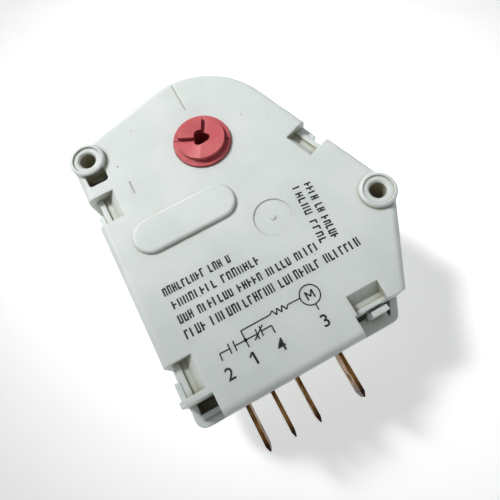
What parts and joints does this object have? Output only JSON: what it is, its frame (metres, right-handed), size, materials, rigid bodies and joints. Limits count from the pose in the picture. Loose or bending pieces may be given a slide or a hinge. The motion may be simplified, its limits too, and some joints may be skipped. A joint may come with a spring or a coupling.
{
  "type": "defrost timer",
  "caption": "Refrigerator defrost timer: flat white clipped case with a domed end, a round motor well behind, a red turning knob, screw ears and blade terminals on edge.",
  "frame": {"origin": "on the knob's axis, in the plane of the motor well's back", "axes": "+Z out of the cover along the knob's axis, +Y towards the domed end, the terminals point to -Y"},
  "size_m": [0.059, 0.0817, 0.0299],
  "materials": {
    "white_plastic": "moulded white thermoplastic, satin",
    "red_plastic": "moulded salmon-red thermoplastic, satin",
    "terminal_brass": "rolled brass strip, slightly tarnished",
    "spring_bronze": "rolled spring bronze",
    "contact_silver": "silver alloy",
    "plated_steel": "zinc-plated steel",
    "bright_steel": "ground bright steel",
    "bobbin_plastic": "moulded black nylon",
    "copper_wire": "enamelled copper wire",
    "ferrite": "sintered ferrite",
    "gear_plastic": "moulded natural acetal",
    "resistor_body": "lacquered ceramic",
    "lead_insulation": "insulated wire"
  },
  "bodies": {
    "housing": {"cover": "white_plastic", "base": "white_plastic", "terminal_1": "terminal_brass", "terminal_2": "terminal_brass", "terminal_3": "terminal_brass", "terminal_4": "terminal_brass", "terminal_rivets": "terminal_brass", "coil_pins": "terminal_brass", "contact_spring_1": "spring_bronze", "contact_spring_2": "spring_bronze", "contact_spring_4": "spring_bronze", "contact_1": "contact_silver", "contact_2": "contact_silver", "contact_4": "contact_silver", "motor_cup": "plated_steel", "pole_plate": "plated_steel", "gear_plate": "plated_steel", "rotor_axle": "bright_steel", "arbor_a": "bright_steel", "arbor_b": "bright_steel", "bobbin": "bobbin_plastic", "winding": "copper_wire", "resistor": "resistor_body", "motor_lead": "lead_insulation"},
    "rotor": {"rotor_magnet": "ferrite", "rotor_hub": "gear_plastic"},
    "wheel_one": {"first_wheel": "gear_plastic"},
    "wheel_two": {"second_wheel": "gear_plastic"},
    "wheel_three": {"third_wheel": "gear_plastic"},
    "wheel_four": {"fourth_wheel": "gear_plastic"},
    "pawl": {"drive_pawl": "gear_plastic"},
    "knob": {"cam_knob": "red_plastic"}
  },
  "joints": [
    {"name": "rotor_turn", "type": "hinge", "parent": "housing", "child": "rotor", "pos_m": [-0.0005, -0.027, 0], "axis": [0, 0, 1], "continuous": true},
    {"name": "wheel_one_turn", "type": "hinge", "parent": "housing", "child": "wheel_one", "pos_m": [0.00354, -0.02123, 0], "axis": [0, 0, 1], "continuous": true},
    {"name": "wheel_two_turn", "type": "hinge", "parent": "housing", "child": "wheel_two", "pos_m": [0.00056, -0.01484, 0], "axis": [0, 0, 1], "continuous": true},
    {"name": "wheel_three_turn", "type": "hinge", "parent": "housing", "child": "wheel_three", "pos_m": [0.00354, -0.02123, 0], "axis": [0, 0, 1], "continuous": true},
    {"name": "wheel_four_turn", "type": "hinge", "parent": "housing", "child": "wheel_four", "pos_m": [0.00056, -0.01484, 0], "axis": [0, 0, 1], "continuous": true},
    {"name": "pawl_turn", "type": "hinge", "parent": "wheel_four", "child": "pawl", "pos_m": [0.00083, -0.01461, 0], "axis": [0, 0, 1], "continuous": true},
    {"name": "knob_turn", "type": "hinge", "parent": "housing", "child": "knob", "pos_m": [0, 0, 0], "axis": [0, 0, 1], "continuous": true}
  ],
  "couplings": [
    {"joint": "wheel_one_turn", "follows": "rotor_turn", "ratio": -0.16667},
    {"joint": "wheel_two_turn", "follows": "rotor_turn", "ratio": 0.027778},
    {"joint": "wheel_three_turn", "follows": "rotor_turn", "ratio": -0.0046296},
    {"joint": "wheel_four_turn", "follows": "rotor_turn", "ratio": 0.0007716},
    {"joint": "pawl_turn", "follows": "rotor_turn", "ratio": -0.0007716}
  ]
}
